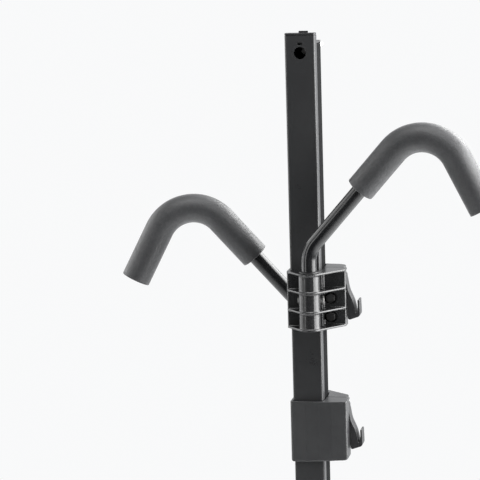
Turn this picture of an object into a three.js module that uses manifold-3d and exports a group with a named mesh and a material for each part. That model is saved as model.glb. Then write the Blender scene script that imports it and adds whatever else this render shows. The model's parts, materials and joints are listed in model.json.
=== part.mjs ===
// Two-arm bicycle rack for a wall: a mast stood off the wall, with two sliding carriages on it.
// Each carriage clamps the mast with a cam lever and carries a padded arm that swivels.
// Millimetres. +Z up, +X to the right, +Y towards the wall. Origin: centre of the wall plate's back face.

import * as THREE from 'three';
import { mergeVertices } from 'three/addons/utils/BufferGeometryUtils.js';
import Module from 'manifold-3d';

const wasm = await Module();
wasm.setup();

// ---------------------------------------------------------------- driving dimensions

const GAP = 0.3; // clearance kept between touching pieces

const WALL_TO_MAST = 80; // wall face to the mast's centre line
const MAST_WIDTH = 30;
const MAST_DEPTH = 40;
const MAST_TOP = 620; // above the wall plate's centre
const MAST_BOTTOM = -140;
const CHANNEL_DEPTH = 11; // front channel, front to back
const CHANNEL_WALL = 2.2;
const TUBE_WALL = 2;
const TUBE_DROP = 9; // the rear tube stops this far below the channel
const MAST_CORNER = 2.2; // outside corner radius
const CAP_THICKNESS = 2;
const CHANNEL_PLUG = 5.5; // how far the caps reach into the channel and the tube
const TUBE_PLUG = 2;
const KEYHOLE = { half: 2.2, top: 6.8, bottom: 9.2 }; // small slot above the access hole

const STUD_RADIUS = 3;
const STUD_DROP = 17; // top wall stud below the mast's top
const ACCESS_HOLE_RADIUS = 6;
const STUD_NUT = 5.4; // across its corners, from the middle
const WASHER_THICKNESS = 1.6;

const PLATE_WIDTH = 110;
const PLATE_HEIGHT = 150;
const PLATE_THICKNESS = 5;
const LAG_X = 40; // lag screws, half spacing
const LAG_Z = 58;
const LAG_RADIUS = 3.2;
const LAG_REACH = 45; // how far a lag screw enters the wall
const BRACKET_HEIGHT = 90;
const BRACKET_WALL = 3;
const CROSS_BOLT_Z = 28; // stand-off bracket bolts, half spacing
const CROSS_BOLT_RADIUS = 4;
const CROSS_BOLT_Y = 6; // behind the mast's centre line
const BRACKET_SCREW_Z = 30;
const BRACKET_SCREW_RADIUS = 3;

const HALF_LEFT = -17.9; // clamp halves, left end
const FRONT_RIGHT = 39; // right end of the half that faces the room
const REAR_RIGHT = 36.4; // right end of the half that faces the wall
const REAR_CORNER = 11; // its rounded corner
const FRONT_CORNER = 2.6;
const HALF_HEIGHT = 57;
const SPLIT = 0.15; // each half stops this far from the split plane
const BORE_X = MAST_WIDTH / 2 + 0.4;
const BORE_Y = MAST_DEPTH / 2 + 0.4;
const SOCKET_X = 6.5;
const SOCKET_Y = 35;
const SOCKET_RADIUS = 10.7;
const NOSE_RADIUS = 11.7;
const RIB_LEFT_DEPTH = 23.6;
const RIB_RIGHT_DEPTH = 12.4;
const RIB_THICKNESS = 2;
const RIB_TOPS = [0, -18, -37.6, -55];
const CORE_DEPTH = 24; // solid body behind the ribs
const COVER_CORNER_DEPTH = 22.4;
const COVER_CROWN_DEPTH = 24.4;
const COVER_SKIRT = 4.5; // the cover hangs this far below the socket half
const UPPER_CARRIAGE_TOP = MAST_TOP - 231;
const LOWER_CARRIAGE_TOP = MAST_TOP - 362.5;

const SLOT_HALF = 8.4; // lever slot
const SLOT_ROOF = 2;
const SLOT_FLOOR = 24;
const CAM_X = 33.5;
const CAM_DROP = 9;
const CAM_RADIUS = 6;
const CAM_OFFSET = 1; // eccentricity of the cam
const PIN_RADIUS = 2;
const PIN_HALF = 10.8;
const LEVER_WIDTH = 16;
const SHOE_THICKNESS = 3.4;
const SHOE_HEIGHT = 46;
const SHOE_WIDTH = 20;
const CLAMP_BOLT_X = 23.9;
const CLAMP_BOLT_DROPS = [28.5, 47];
const CLAMP_BOLT_RADIUS = 2.5;
const CLAMP_BOLT_SEAT = 12.5; // under the heads, from the split plane
const SMALL_HEAD = 4.6; // radius of the clamp and retaining fasteners' heads
const CLAMP_NUT_SEAT = 15; // depth of the captive nuts' seat below the split plane
const RETAINER_DROP = 28.5;
const RETAINER_RADIUS = 2.4;
const RETAINER_Y = 26.4;
const RETAINER_BOSS = 9; // half length of the boss that the retaining bolt passes through

const ROD_RADIUS = 7.5;
const GROOVE_RADIUS = 6;
const BUSH_INNER = 7.85;
const BUSH_OUTER = 8.7;
const SOCKET_BORE = 9;
const ROD_INSERT = 55; // leg inside the socket
const FOAM_RADIUS = 14.4;
const FOAM_START = 80; // from the lower bend's corner, along the arm
const ARM_CREST = [122.5, 140.5]; // upper bend's corner: reach, rise
const ARM_END = [173.5, 41.5]; // arm's tip: reach, rise
const LOWER_BEND = 28;
const UPPER_BEND = 38;
const NEAR_LEG = 22; // leg above the carriage
const FAR_LEG = 79;
const NEAR_SWING = THREE.MathUtils.degToRad(-4.5);
const FAR_SWING = THREE.MathUtils.degToRad(195);

// ---------------------------------------------------------------- finishes

const finish = (color, roughness, metalness) => ({ color, roughness, metalness });
const BLACK_PAINT = finish(0x1d1e20, 0.45, 0.2);
const BLACK_CASTING = finish(0x222325, 0.5, 0.2);
const BLACK_PLASTIC = finish(0x161718, 0.6, 0);
const FOAM_RUBBER = finish(0x37383a, 0.85, 0);
const ZINC = finish(0xa8abad, 0.35, 0.9);
const BLACK_STEEL = finish(0x1a1b1c, 0.4, 0.6);
const NYLON = finish(0xd8d6cf, 0.55, 0);

// ---------------------------------------------------------------- solids

function toSolid(geometry) {
  const bare = geometry.clone();
  bare.deleteAttribute('normal');
  bare.deleteAttribute('uv');
  const merged = mergeVertices(bare, 1e-4);
  const mesh = new wasm.Mesh({
    numProp: 3,
    vertProperties: new Float32Array(merged.attributes.position.array),
    triVerts: new Uint32Array(merged.index.array),
  });
  return new wasm.Manifold(mesh);
}

function fromSolid(solid) {
  const mesh = solid.getMesh();
  const geometry = new THREE.BufferGeometry();
  geometry.setAttribute('position', new THREE.BufferAttribute(new Float32Array(mesh.vertProperties), 3));
  geometry.setIndex(new THREE.BufferAttribute(new Uint32Array(mesh.triVerts), 1));
  geometry.computeVertexNormals();
  return geometry;
}

// Joins the geometries in `adds`, then takes away those in `cuts`.
function shape(adds, cuts = []) {
  let solid = toSolid(adds[0]);
  for (const piece of adds.slice(1)) solid = solid.add(toSolid(piece));
  for (const piece of cuts) solid = solid.subtract(toSolid(piece));
  return fromSolid(solid);
}

function piece(name, geometry, look) {
  const mesh = new THREE.Mesh(geometry, new THREE.MeshStandardMaterial(look));
  mesh.name = name;
  return mesh;
}

// A box between two corners.
function block(x0, x1, y0, y1, z0, z1) {
  const geometry = new THREE.BoxGeometry(x1 - x0, y1 - y0, z1 - z0);
  return geometry.translate((x0 + x1) / 2, (y0 + y1) / 2, (z0 + z1) / 2);
}

// A round bar along one axis, from a to b, centred on the two other coordinates.
function bar(axis, radius, a, b, u, v, sides = 16) {
  const geometry = new THREE.CylinderGeometry(radius, radius, b - a, sides);
  const mid = (a + b) / 2;
  if (axis === 'x') return geometry.rotateZ(-Math.PI / 2).translate(mid, u, v);
  if (axis === 'y') return geometry.translate(u, mid, v);
  return geometry.rotateX(Math.PI / 2).translate(u, v, mid);
}

// A plan outline raised from z0 to z1.
function prism(outline, z0, z1) {
  const settings = { depth: z1 - z0, bevelEnabled: false, curveSegments: 4 };
  const geometry = new THREE.ExtrudeGeometry(outline, settings);
  return geometry.translate(0, 0, z0);
}

function roundedRectangle(x0, x1, y0, y1, r) {
  const outline = new THREE.Shape();
  outline.moveTo(x0 + r, y0);
  outline.lineTo(x1 - r, y0);
  outline.absarc(x1 - r, y0 + r, r, -Math.PI / 2, 0);
  outline.lineTo(x1, y1 - r);
  outline.absarc(x1 - r, y1 - r, r, 0, Math.PI / 2);
  outline.lineTo(x0 + r, y1);
  outline.absarc(x0 + r, y1 - r, r, Math.PI / 2, Math.PI);
  outline.lineTo(x0, y0 + r);
  outline.absarc(x0 + r, y0 + r, r, Math.PI, 1.5 * Math.PI);
  return outline;
}

// Hexagon-headed bolt along +Y from `y0` (under the head) to `y1`, head towards -Y.
function bolt(radius, headRadius, headHeight, y0, y1) {
  const shank = bar('y', radius, y0 - 1, y1, 0, 0, 12);
  const head = bar('y', headRadius, y0 - headHeight, y0, 0, 0, 6);
  return shape([shank, head]);
}

function ring(inner, outer, y0, y1, sides = 16) {
  return shape([bar('y', outer, y0, y1, 0, 0, sides)], [bar('y', inner, y0 - 1, y1 + 1, 0, 0, 12)]);
}

// ---------------------------------------------------------------- mast

function mast() {
  const group = new THREE.Group();
  const halfW = MAST_WIDTH / 2;
  const front = -MAST_DEPTH / 2;
  const back = MAST_DEPTH / 2;
  const seam = front + CHANNEL_DEPTH;
  const studZ = MAST_TOP - STUD_DROP;

  const rounded = roundedRectangle(-halfW, halfW, front, seam + 6, MAST_CORNER);
  const channelOuter = prism(rounded, MAST_BOTTOM, MAST_TOP);
  const inner = [-halfW + CHANNEL_WALL, halfW - CHANNEL_WALL];
  const keyhole = [MAST_TOP - KEYHOLE.bottom, MAST_TOP - KEYHOLE.top];
  const channelCuts = [
    block(-40, 40, seam, seam + 20, MAST_BOTTOM - 1, MAST_TOP + 1),
    block(...inner, front + CHANNEL_WALL, seam + 1, MAST_BOTTOM - 1, MAST_TOP + 1),
    bar('y', ACCESS_HOLE_RADIUS, front - 1, seam, 0, studZ, 20),
    block(-KEYHOLE.half, KEYHOLE.half, front - 1, front + 4, ...keyhole),
  ];
  for (const dz of [-CROSS_BOLT_Z, CROSS_BOLT_Z]) {
    channelCuts.push(bar('x', CROSS_BOLT_RADIUS + GAP, -halfW - 1, halfW + 1, seam - 5.5, dz));
  }
  group.add(piece('mast_front_channel', shape([channelOuter], channelCuts), BLACK_PAINT));

  const tubeTop = MAST_TOP - TUBE_DROP;
  const tubeOutline = roundedRectangle(-halfW + GAP, halfW - GAP, seam + GAP, back, MAST_CORNER);
  const tubeOuter = prism(tubeOutline, MAST_BOTTOM, tubeTop);
  const tubeInner = [-halfW + TUBE_WALL, halfW - TUBE_WALL, seam + TUBE_WALL, back - TUBE_WALL];
  const tubeCuts = [
    block(...tubeInner, MAST_BOTTOM - 1, tubeTop + 1),
    bar('y', ACCESS_HOLE_RADIUS, seam - 1, seam + TUBE_WALL + 1, 0, studZ, 20),
    bar('y', STUD_RADIUS + GAP, back - TUBE_WALL - 1, back + 1, 0, studZ),
  ];
  for (const dz of [-CROSS_BOLT_Z, CROSS_BOLT_Z]) {
    tubeCuts.push(bar('x', CROSS_BOLT_RADIUS + GAP, -halfW - 1, halfW + 1, CROSS_BOLT_Y, dz));
  }
  group.add(piece('mast_rear_tube', shape([tubeOuter], tubeCuts), BLACK_PAINT));

  for (const [name, end, up] of [['channel_top_cap', MAST_TOP, 1], ['channel_bottom_cap', MAST_BOTTOM, -1]]) {
    const lid = prism(roundedRectangle(-halfW, halfW, front, seam, MAST_CORNER), 0, CAP_THICKNESS);
    const sides = [inner[0] + GAP, inner[1] - GAP];
    const plug = block(...sides, front + CHANNEL_WALL + GAP, seam - 0.5, -CHANNEL_PLUG, 0.5);
    const tab = block(-2, 7, seam - 3, seam - 0.5, 1, CAP_THICKNESS + 1.8);
    const cap = shape(up > 0 ? [lid, plug, tab] : [lid, plug]);
    if (up < 0) cap.rotateY(Math.PI);
    cap.translate(0, 0, end + up * GAP);
    group.add(piece(name, cap, BLACK_PLASTIC));
  }
  for (const [name, end, up] of [['tube_top_cap', tubeTop, 1], ['tube_bottom_cap', MAST_BOTTOM, -1]]) {
    const lid = prism(tubeOutline, 0, CAP_THICKNESS);
    const walls = [-halfW + TUBE_WALL + GAP, halfW - TUBE_WALL - GAP];
    const plug = block(...walls, seam + TUBE_WALL + GAP, back - TUBE_WALL - GAP, -TUBE_PLUG, 0.5);
    const cap = shape([lid, plug]);
    if (up < 0) cap.rotateY(Math.PI);
    cap.translate(0, 0, end + up * GAP);
    group.add(piece(name, cap, BLACK_PLASTIC));
  }
  return group;
}

// ---------------------------------------------------------------- wall fixings

// The slim stud that steadies the mast's top: it screws into the wall and is nutted to the rear tube.
function topWallStud() {
  const group = new THREE.Group();
  group.position.set(0, 0, MAST_TOP - STUD_DROP);
  const back = MAST_DEPTH / 2;
  const inside = back - TUBE_WALL;
  const thread = new THREE.LatheGeometry(studProfile(inside - 9), 16);
  group.add(piece('top_wall_stud', thread, ZINC));
  const innerNut = nut(STUD_RADIUS, STUD_NUT, inside - 6, inside - GAP);
  const washer = ring(STUD_RADIUS + GAP, STUD_NUT + WASHER_THICKNESS, back + GAP, back + WASHER_THICKNESS);
  const outerFace = back + WASHER_THICKNESS + GAP;
  group.add(piece('top_stud_inner_nut', innerNut, BLACK_STEEL));
  group.add(piece('top_stud_washer', washer, ZINC));
  group.add(piece('top_stud_outer_nut', nut(STUD_RADIUS, STUD_NUT, outerFace, outerFace + 5), ZINC));
  return group;
}

function studProfile(start) {
  const wall = WALL_TO_MAST;
  return [
    new THREE.Vector2(0, start),
    new THREE.Vector2(STUD_RADIUS, start),
    new THREE.Vector2(STUD_RADIUS, wall + LAG_REACH - 12),
    new THREE.Vector2(0, wall + LAG_REACH),
  ];
}

function nut(radius, size, y0, y1) {
  return ring(radius + GAP, size, y0, y1, 6);
}

function wallPlate() {
  const back = WALL_TO_MAST;
  const outline = roundedRectangle(-PLATE_WIDTH / 2, PLATE_WIDTH / 2, -PLATE_HEIGHT / 2, PLATE_HEIGHT / 2, 8);
  const plate = prism(outline, 0, PLATE_THICKNESS).rotateX(Math.PI / 2).translate(0, back, 0);
  const holes = [];
  for (const x of [-LAG_X, LAG_X]) {
    for (const z of [-LAG_Z, LAG_Z]) holes.push(bar('y', LAG_RADIUS + GAP, 0, back + 1, x, z));
  }
  for (const z of [-BRACKET_SCREW_Z, BRACKET_SCREW_Z]) {
    holes.push(bar('y', BRACKET_SCREW_RADIUS + GAP, 0, back + 1, 0, z));
  }
  return piece('wall_plate', shape([plate], holes), BLACK_PAINT);
}

// A channel whose flanges grip the sides of the rear tube and whose web lies on the wall plate.
function standoffBracket() {
  const web = WALL_TO_MAST - PLATE_THICKNESS - GAP;
  const inner = MAST_WIDTH / 2 + GAP;
  const half = BRACKET_HEIGHT / 2;
  const flangeFront = -4;
  const outer = block(-inner - BRACKET_WALL, inner + BRACKET_WALL, flangeFront, web, -half, half);
  const hollow = block(-inner, inner, flangeFront - 1, web - BRACKET_WALL, -half - 1, half + 1);
  const cuts = [hollow];
  for (const z of [-BRACKET_SCREW_Z, BRACKET_SCREW_Z]) {
    cuts.push(bar('y', BRACKET_SCREW_RADIUS + GAP, 0, web + 1, 0, z));
  }
  for (const z of [-CROSS_BOLT_Z, CROSS_BOLT_Z]) {
    cuts.push(bar('x', CROSS_BOLT_RADIUS + GAP, -inner - 9, inner + 9, CROSS_BOLT_Y, z));
  }
  const slope = new THREE.Shape();
  slope.moveTo(flangeFront - 1, half + 1);
  slope.lineTo(flangeFront + 24, half + 1);
  slope.lineTo(flangeFront - 1, half - 16);
  for (const flip of [1, -1]) {
    const wedge = prism(slope, -40, 40);
    wedge.rotateX(Math.PI / 2).rotateZ(Math.PI / 2);
    cuts.push(flip > 0 ? wedge : wedge.clone().rotateY(Math.PI));
  }
  return piece('standoff_bracket', shape([outer], cuts), BLACK_PAINT);
}

function wallFixings() {
  const group = new THREE.Group();
  group.add(wallPlate());
  group.add(standoffBracket());
  const plateFront = WALL_TO_MAST - PLATE_THICKNESS;

  for (const [side, x] of [['left', -LAG_X], ['right', LAG_X]]) {
    for (const [level, z] of [['lower', -LAG_Z], ['upper', LAG_Z]]) {
      const seat = plateFront - WASHER_THICKNESS - 2 * GAP;
      const washer = ring(LAG_RADIUS + GAP, 8.5, seat + GAP, plateFront - GAP);
      const screw = new THREE.LatheGeometry(lagProfile(seat), 16);
      const head = bar('y', 6, plateFront - 7, seat, 0, 0, 6);
      group.add(piece(`${level}_${side}_lag_washer`, washer.translate(x, 0, z), ZINC));
      group.add(piece(`${level}_${side}_lag_screw`, shape([screw, head]).translate(x, 0, z), ZINC));
    }
  }

  const outer = MAST_WIDTH / 2 + GAP + BRACKET_WALL;
  for (const [level, z] of [['lower', -CROSS_BOLT_Z], ['upper', CROSS_BOLT_Z]]) {
    const through = bolt(CROSS_BOLT_RADIUS - 0.2, 7, 5, -outer - GAP, outer + 8).rotateZ(-Math.PI / 2);
    const lock = nut(CROSS_BOLT_RADIUS - 0.2, 7, outer + GAP, outer + 6.5).rotateZ(-Math.PI / 2);
    group.add(piece(`${level}_mast_bolt`, through.translate(0, CROSS_BOLT_Y, z), ZINC));
    group.add(piece(`${level}_mast_nut`, lock.translate(0, CROSS_BOLT_Y, z), ZINC));
  }

  const webFront = plateFront - GAP - BRACKET_WALL;
  for (const [level, z] of [['lower', -BRACKET_SCREW_Z], ['upper', BRACKET_SCREW_Z]]) {
    const screw = bolt(BRACKET_SCREW_RADIUS - 0.1, 5, 3, webFront - GAP, WALL_TO_MAST - 0.4);
    group.add(piece(`${level}_bracket_screw`, screw.translate(0, 0, z), ZINC));
  }
  return group;
}

function lagProfile(start) {
  const tip = WALL_TO_MAST + LAG_REACH;
  return [
    new THREE.Vector2(0, start - 2),
    new THREE.Vector2(LAG_RADIUS, start - 2),
    new THREE.Vector2(LAG_RADIUS, tip - 10),
    new THREE.Vector2(0, tip),
  ];
}

// ---------------------------------------------------------------- carriage

// Angle on the nose circle where a line from `point` touches it; `turn` picks the side.
function touchAngle(centre, radius, point, turn) {
  const dx = point.x - centre.x;
  const dy = point.y - centre.y;
  return Math.atan2(dy, dx) + turn * Math.acos(radius / Math.hypot(dx, dy));
}

// Rib plan with the nose towards -Y, for a socket at x and a right end at `end`.
function ribOutline(socketX, end) {
  const centre = new THREE.Vector2(socketX, -SOCKET_Y);
  const left = new THREE.Vector2(HALF_LEFT, -RIB_LEFT_DEPTH);
  const right = new THREE.Vector2(end, -RIB_RIGHT_DEPTH);
  const outline = new THREE.Shape();
  outline.moveTo(HALF_LEFT, -SPLIT);
  outline.lineTo(left.x, left.y);
  outline.absarc(
    centre.x, centre.y, NOSE_RADIUS,
    touchAngle(centre, NOSE_RADIUS, left, 1), touchAngle(centre, NOSE_RADIUS, right, -1),
  );
  outline.lineTo(right.x - 1, right.y - 0.4);
  outline.lineTo(right.x, right.y + 1);
  outline.lineTo(end, -SPLIT);
  return outline;
}

// Body behind the ribs: it wraps the mast and carries the lever's cheek.
function coreOutline(end) {
  const outline = new THREE.Shape();
  outline.moveTo(HALF_LEFT, -SPLIT);
  outline.lineTo(HALF_LEFT, -RIB_LEFT_DEPTH + 1);
  outline.lineTo(HALF_LEFT + 1, -RIB_LEFT_DEPTH);
  outline.lineTo(BORE_X + 2, -CORE_DEPTH);
  outline.lineTo(CLAMP_BOLT_X - 6, -15.5);
  outline.lineTo(end - 1, -RIB_RIGHT_DEPTH + 0.4);
  outline.lineTo(end, -RIB_RIGHT_DEPTH + 1.4);
  outline.lineTo(end, -SPLIT);
  return outline;
}

function coverOutline(end, corner) {
  const outline = new THREE.Shape();
  const r = FRONT_CORNER;
  outline.moveTo(HALF_LEFT, -SPLIT);
  outline.lineTo(HALF_LEFT, -COVER_CORNER_DEPTH + r);
  outline.absarc(HALF_LEFT + r, -COVER_CORNER_DEPTH + r, r, Math.PI, 1.5 * Math.PI);
  const middle = (HALF_LEFT + end) / 2;
  const crown = 2 * COVER_CROWN_DEPTH - COVER_CORNER_DEPTH;
  outline.quadraticCurveTo(middle, -crown, end - corner, -COVER_CORNER_DEPTH);
  outline.absarc(end - corner, -COVER_CORNER_DEPTH + corner, corner, -Math.PI / 2, 0);
  outline.lineTo(end, -SPLIT);
  return outline;
}

// What both halves leave free: mast, shoe, push block, cam slot and cam pin.
function sharedCuts() {
  const cuts = [
    block(-BORE_X, BORE_X, -BORE_Y, 1, -HALF_HEIGHT - 9, 9),
    block(BORE_X - 1, BORE_X + SHOE_THICKNESS + 1.6, -SHOE_WIDTH / 2 - GAP, 1, -52, -4.5),
    block(BORE_X, CAM_X, -6.4, 1, -CAM_DROP - 6.4, -CAM_DROP + 4.5),
    block(CAM_X - CAM_RADIUS - 1.4, FRONT_RIGHT + 3, -SLOT_HALF, 1, -SLOT_FLOOR, -SLOT_ROOF),
    bar('y', PIN_RADIUS + GAP, -PIN_HALF - GAP, 1, CAM_X, -CAM_DROP),
  ];
  return cuts;
}

function socketHalf(socketX, end) {
  const adds = [prism(coreOutline(end), -HALF_HEIGHT, 0)];
  for (const top of RIB_TOPS) adds.push(prism(ribOutline(socketX, end), top - RIB_THICKNESS, top));
  adds.push(bar('z', SOCKET_RADIUS, -HALF_HEIGHT, 0, socketX, -SOCKET_Y, 24));
  adds.push(block(socketX - 6, socketX + 6, -SOCKET_Y, -CORE_DEPTH + 3, -HALF_HEIGHT, 0));
  const bossZ = [-RETAINER_DROP - 6, -RETAINER_DROP + 6];
  const boss = [socketX - RETAINER_BOSS, socketX + RETAINER_BOSS];
  adds.push(block(...boss, -RETAINER_Y - 5, -CORE_DEPTH + 3, ...bossZ));
  const cuts = sharedCuts();
  cuts.push(bar('z', SOCKET_BORE, -HALF_HEIGHT - 1, 1, socketX, -SOCKET_Y, 24));
  cuts.push(bar('x', RETAINER_RADIUS + GAP, socketX - 40, socketX + 40, -RETAINER_Y, -RETAINER_DROP));
  for (const [a, b] of [[boss[0] - 5, boss[0]], [boss[1], boss[1] + 4.5]]) {
    cuts.push(bar('x', 5.4, a, b, -RETAINER_Y, -RETAINER_DROP, 16));
  }
  for (const drop of CLAMP_BOLT_DROPS) {
    cuts.push(bar('y', 6, -30, -CLAMP_BOLT_SEAT, CLAMP_BOLT_X, -drop));
    cuts.push(bar('y', CLAMP_BOLT_RADIUS + GAP, -30, 1, CLAMP_BOLT_X, -drop));
  }
  return shape(adds, cuts);
}

function coverHalf(end, corner) {
  const bottom = -HALF_HEIGHT - COVER_SKIRT;
  const body = prism(coverOutline(end, corner), bottom, 0);
  const cuts = sharedCuts();
  for (const drop of CLAMP_BOLT_DROPS) {
    cuts.push(bar('y', 5, -CLAMP_NUT_SEAT, 1, CLAMP_BOLT_X, -drop, 6));
    cuts.push(bar('y', CLAMP_BOLT_RADIUS + GAP, -CLAMP_NUT_SEAT - 2, 1, CLAMP_BOLT_X, -drop));
  }
  const taper = new THREE.Shape();
  taper.moveTo(HALF_LEFT - 1, bottom - 1);
  taper.lineTo(HALF_LEFT - 1, bottom + 3);
  taper.quadraticCurveTo(HALF_LEFT, bottom, HALF_LEFT + 3, bottom);
  taper.lineTo(end - 3, bottom + 2);
  taper.quadraticCurveTo(end, bottom + 2.2, end + 1, bottom + 5);
  taper.lineTo(end + 1, bottom - 1);
  cuts.push(prism(taper, -1, 40).rotateX(Math.PI / 2));
  return shape([body], cuts);
}

// Closed lever seen along Y: a cam hub at the top, a flat shank, and a hooked finger end.
function leverOutline() {
  const outline = new THREE.Shape();
  outline.moveTo(CAM_X + 2, -CAM_DROP - 5);
  outline.lineTo(37.2, -20.5);
  outline.lineTo(39.6, -23);
  outline.lineTo(39.8, -49);
  outline.quadraticCurveTo(39.9, -51.6, 42, -51.4);
  outline.lineTo(50.3, -48.6);
  outline.quadraticCurveTo(52, -47.8, 52, -45);
  outline.lineTo(51.6, -32);
  outline.quadraticCurveTo(50.6, -31, 49.7, -32);
  outline.quadraticCurveTo(50, -40, 49.4, -44);
  outline.quadraticCurveTo(48.4, -46.2, 47.6, -43);
  outline.quadraticCurveTo(46.6, -34, 42.4, -26);
  outline.quadraticCurveTo(40.4, -22, 39.6, -16);
  outline.quadraticCurveTo(38.6, -7.5, CAM_X + 2.4, -CAM_DROP + 4.6);
  return outline;
}

function camLever() {
  const half = LEVER_WIDTH / 2;
  const shank = prism(leverOutline(), -half, half).rotateX(Math.PI / 2);
  const hub = bar('y', CAM_RADIUS, -half, half, CAM_X - CAM_OFFSET, -CAM_DROP, 20);
  return shape([shank, hub], [bar('y', PIN_RADIUS + GAP, -half - 1, half + 1, CAM_X, -CAM_DROP)]);
}

function bush(x, y, z0, z1) {
  const wall = bar('z', BUSH_OUTER, z0, z1, x, y, 24);
  const lip = bar('z', SOCKET_RADIUS - 0.6, GAP, GAP + 1.2, x, y, 24);
  return shape([wall, lip], [bar('z', BUSH_INNER, z0 - 1, z1 + 3, x, y, 24)]);
}

// One carriage with its nose towards -Y (side -1) or +Y (side 1).
function carriage(label, top, side, socketX) {
  const group = new THREE.Group();
  group.position.z = top;
  const turned = (geometry, flip) => (flip ? mirrored(geometry) : geometry);
  const noseBack = side > 0;
  const ends = noseBack ? [REAR_RIGHT, FRONT_RIGHT, FRONT_CORNER] : [FRONT_RIGHT, REAR_RIGHT, REAR_CORNER];
  const socket = socketHalf(socketX, ends[0]);
  const cover = coverHalf(ends[1], ends[2]);
  group.add(piece(`${label}_socket_half`, turned(socket, noseBack), BLACK_CASTING));
  group.add(piece(`${label}_cover_half`, turned(cover, !noseBack), BLACK_CASTING));

  const shoeTop = -5.2;
  const shoeAcross = [-SHOE_WIDTH / 2, SHOE_WIDTH / 2];
  const shoe = block(BORE_X, BORE_X + SHOE_THICKNESS, ...shoeAcross, shoeTop - SHOE_HEIGHT, shoeTop);
  group.add(piece(`${label}_clamp_shoe`, shape([shoe]), NYLON));
  const pushFront = BORE_X + SHOE_THICKNESS + GAP;
  const pushBack = CAM_X - CAM_OFFSET - CAM_RADIUS - GAP;
  const push = block(pushFront, pushBack, -6, 6, -CAM_DROP - 5.9, -CAM_DROP + 3.9);
  group.add(piece(`${label}_push_block`, shape([push]), ZINC));

  group.add(piece(`${label}_cam_lever`, camLever(), BLACK_PLASTIC));
  const pin = bar('y', PIN_RADIUS, -PIN_HALF, PIN_HALF, CAM_X, -CAM_DROP, 16);
  group.add(piece(`${label}_cam_pin`, shape([pin]), BLACK_STEEL));

  for (const [level, drop] of [['top', CLAMP_BOLT_DROPS[0]], ['bottom', CLAMP_BOLT_DROPS[1]]]) {
    const shank = bolt(CLAMP_BOLT_RADIUS, SMALL_HEAD, 4, -CLAMP_BOLT_SEAT - GAP, CLAMP_NUT_SEAT + 1.4);
    const captive = nut(CLAMP_BOLT_RADIUS, SMALL_HEAD, CLAMP_NUT_SEAT - 4, CLAMP_NUT_SEAT - GAP);
    const screw = turned(shank, noseBack);
    const lock = turned(captive, noseBack);
    group.add(piece(`${label}_clamp_bolt_${level}`, screw.translate(CLAMP_BOLT_X, 0, -drop), BLACK_STEEL));
    group.add(piece(`${label}_clamp_nut_${level}`, lock.translate(CLAMP_BOLT_X, 0, -drop), ZINC));
  }

  const y = side * RETAINER_Y;
  const retainer = bolt(RETAINER_RADIUS, SMALL_HEAD - 0.1, 3.5, -RETAINER_BOSS - GAP, RETAINER_BOSS + 4);
  const locknut = nut(RETAINER_RADIUS, SMALL_HEAD, RETAINER_BOSS + GAP, RETAINER_BOSS + 3.5);
  for (const [name, part] of [['bolt', retainer], ['nut', locknut]]) {
    const placed = part.rotateZ(-Math.PI / 2).translate(socketX, y, -RETAINER_DROP);
    group.add(piece(`${label}_arm_retaining_${name}`, placed, ZINC));
  }
  return group;
}

// The same solid turned over the split plane, with its faces still pointing out.
function mirrored(geometry) {
  const flipped = geometry.clone().scale(1, -1, 1);
  const index = flipped.index.array;
  for (let i = 0; i < index.length; i += 3) [index[i], index[i + 1]] = [index[i + 1], index[i]];
  flipped.computeVertexNormals();
  return flipped;
}

// ---------------------------------------------------------------- arms

// Centre line of an arm in its own plane: x = reach, z = rise from the lower bend's corner.
function armCorners(legDrop) {
  return [
    new THREE.Vector3(0, 0, -legDrop),
    new THREE.Vector3(0, 0, 0),
    new THREE.Vector3(ARM_CREST[0], 0, ARM_CREST[1]),
    new THREE.Vector3(ARM_END[0], 0, ARM_END[1]),
  ];
}

// Straight runs joined by round bends of the given radii.
function bentPath(corners, radii) {
  const path = new THREE.CurvePath();
  let from = corners[0];
  for (let i = 1; i < corners.length - 1; i += 1) {
    const back = corners[i - 1].clone().sub(corners[i]).normalize();
    const ahead = corners[i + 1].clone().sub(corners[i]).normalize();
    const half = back.angleTo(ahead) / 2;
    const reach = radii[i - 1] / Math.tan(half);
    const start = corners[i].clone().addScaledVector(back, reach);
    const end = corners[i].clone().addScaledVector(ahead, reach);
    path.add(new THREE.LineCurve3(from, start));
    path.add(arc(corners[i], back.clone().add(ahead).normalize(), radii[i - 1], half, start, end));
    from = end;
  }
  path.add(new THREE.LineCurve3(from, corners[corners.length - 1]));
  return path;
}

// Round bend as a curve: its centre lies from the corner along `inward`.
function arc(corner, inward, radius, half, start, end) {
  const centre = corner.clone().addScaledVector(inward, radius / Math.sin(half));
  const a = start.clone().sub(centre);
  const b = end.clone().sub(centre);
  const sweep = a.angleTo(b);
  const bend = new THREE.Curve();
  bend.getPoint = (t, target = new THREE.Vector3()) => target
    .copy(a)
    .multiplyScalar(Math.sin((1 - t) * sweep) / Math.sin(sweep))
    .addScaledVector(b, Math.sin(t * sweep) / Math.sin(sweep))
    .add(centre);
  return bend;
}

// A section swept along the path between two lengths from its start.
function sweep(path, radius, from, to, sides, step) {
  const total = path.getLength();
  const part = new THREE.Curve();
  part.getPoint = (t, target = new THREE.Vector3()) => {
    const u = (from + (to - from) * t) / total;
    return target.copy(path.getPointAt(Math.min(Math.max(u, 0), 1)));
  };
  const section = new THREE.Shape();
  section.absarc(0, 0, radius, 0, 2 * Math.PI);
  const steps = Math.max(2, Math.round((to - from) / step));
  const options = { steps, bevelEnabled: false, extrudePath: part, curveSegments: sides / 2 };
  return new THREE.ExtrudeGeometry(section, options);
}

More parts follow.
